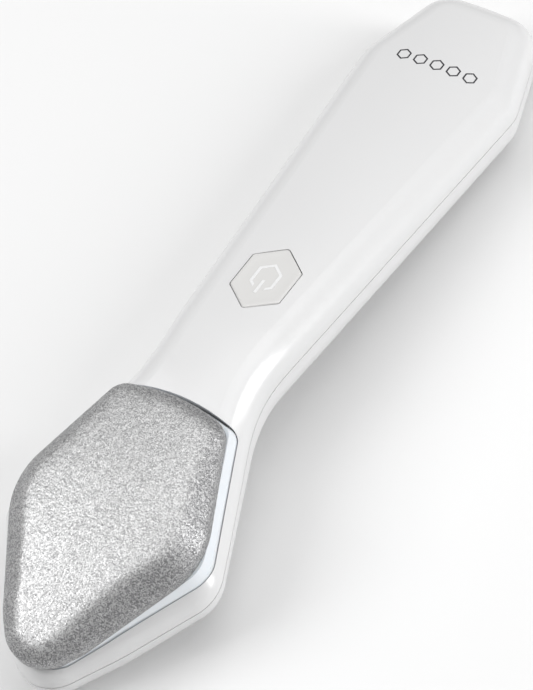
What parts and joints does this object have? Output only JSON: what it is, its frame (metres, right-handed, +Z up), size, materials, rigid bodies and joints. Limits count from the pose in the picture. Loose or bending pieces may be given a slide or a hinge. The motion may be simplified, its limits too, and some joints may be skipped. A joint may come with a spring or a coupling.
{
  "type": "electric callus remover",
  "caption": "Arched hand-held foot file with a puffed five-sided grit pad on a vibrating head, a six-sided push button and a flap over its charging port.",
  "frame": {"origin": "middle of the whole object's plan box, on the surface that it rests on", "axes": "+Z up with the pad facing up; +Y along the body from the pad's tip to the handle's end; X across"},
  "size_m": [0.0506, 0.1926, 0.0335],
  "materials": {
    "white_shell": "smooth satin gloss white moulded plastic",
    "button_grey": "satin warm light grey plastic",
    "sign_white": "white light-guide plastic",
    "grit_silver": "silver crystal grit bonded to a hard pad",
    "tray_clear": "pale blue-grey translucent plastic",
    "silicone_grey": "soft light grey silicone",
    "silicone_white": "soft white silicone",
    "rubber_black": "black rubber",
    "magnet_nickel": "nickel plated magnet",
    "steel": "zinc plated steel",
    "board_green": "green solder mask",
    "chip_black": "black epoxy packages",
    "led_white": "white LED package",
    "switch_black": "black switch housing",
    "stem_brown": "brown switch plunger",
    "cell_foil": "silver pouch foil",
    "foam_grey": "grey foam",
    "wire_red": "red insulation",
    "wire_black": "black insulation",
    "wire_blue": "blue insulation",
    "ferrite": "dark sintered magnet",
    "copper": "enamelled copper winding",
    "tungsten": "dense sintered metal",
    "tongue_black": "black insert"
  },
  "bodies": {
    "housing": {"upper_shell": "white_shell", "lower_shell": "white_shell", "parting_seal": "silicone_white", "case_screws": "steel", "screw_plugs": "silicone_white", "keeper_discs": "steel", "well_gasket": "silicone_grey", "button_gasket": "silicone_grey", "gasket_frame": "white_shell", "tact_switch": "switch_black", "main_board": "board_green", "board_screws": "steel", "control_chips": "chip_black", "indicator_lights": "led_white", "battery_cell": "cell_foil", "battery_foam": "foam_grey", "battery_lead_red": "wire_red", "battery_lead_black": "wire_black", "motor_lead_red": "wire_red", "motor_lead_blue": "wire_blue", "charge_lead_red": "wire_red", "charge_lead_black": "wire_black", "motor_can": "steel", "motor_magnet": "ferrite", "motor_end_cap": "switch_black", "motor_sleeve": "rubber_black", "charge_socket": "steel", "socket_tongue": "tongue_black", "socket_board": "board_green"},
    "cartridge": {"pad_tray": "tray_clear", "abrasive_pad": "grit_silver", "tray_magnets": "magnet_nickel"},
    "button": {"button_cap": "button_grey", "button_sign": "sign_white"},
    "switch_plunger": {"switch_stem": "stem_brown"},
    "rotor": {"motor_shaft": "steel", "motor_winding": "copper", "eccentric_weight": "tungsten"},
    "port_flap": {"port_cover": "silicone_white"}
  },
  "joints": [
    {"name": "button_press", "type": "slide", "parent": "housing", "child": "button", "axis": [0, -0.1056, -0.9944], "range_m": [0, 0.0005], "stiffness_N_per_m": 1500, "springref_m": -0.001},
    {"name": "switch_travel", "type": "slide", "parent": "housing", "child": "switch_plunger", "axis": [0, -0.1056, -0.9944], "range_m": [0, 0.0005]},
    {"name": "cartridge_lift", "type": "slide", "parent": "housing", "child": "cartridge", "axis": [0, -0.2171, 0.9761], "range_m": [0, 0.016]},
    {"name": "motor_spin", "type": "hinge", "parent": "housing", "child": "rotor", "pos_m": [0, -0.04695, 0.01299], "axis": [0, -0.9761, -0.2171], "continuous": true},
    {"name": "port_flap_hinge", "type": "hinge", "parent": "housing", "child": "port_flap", "pos_m": [0, 0.09567, 0.00832], "axis": [-1, 0, 0], "range_deg": [0, 90]}
  ],
  "couplings": [
    {"joint": "switch_travel", "follows": "button_press", "ratio": 1}
  ]
}
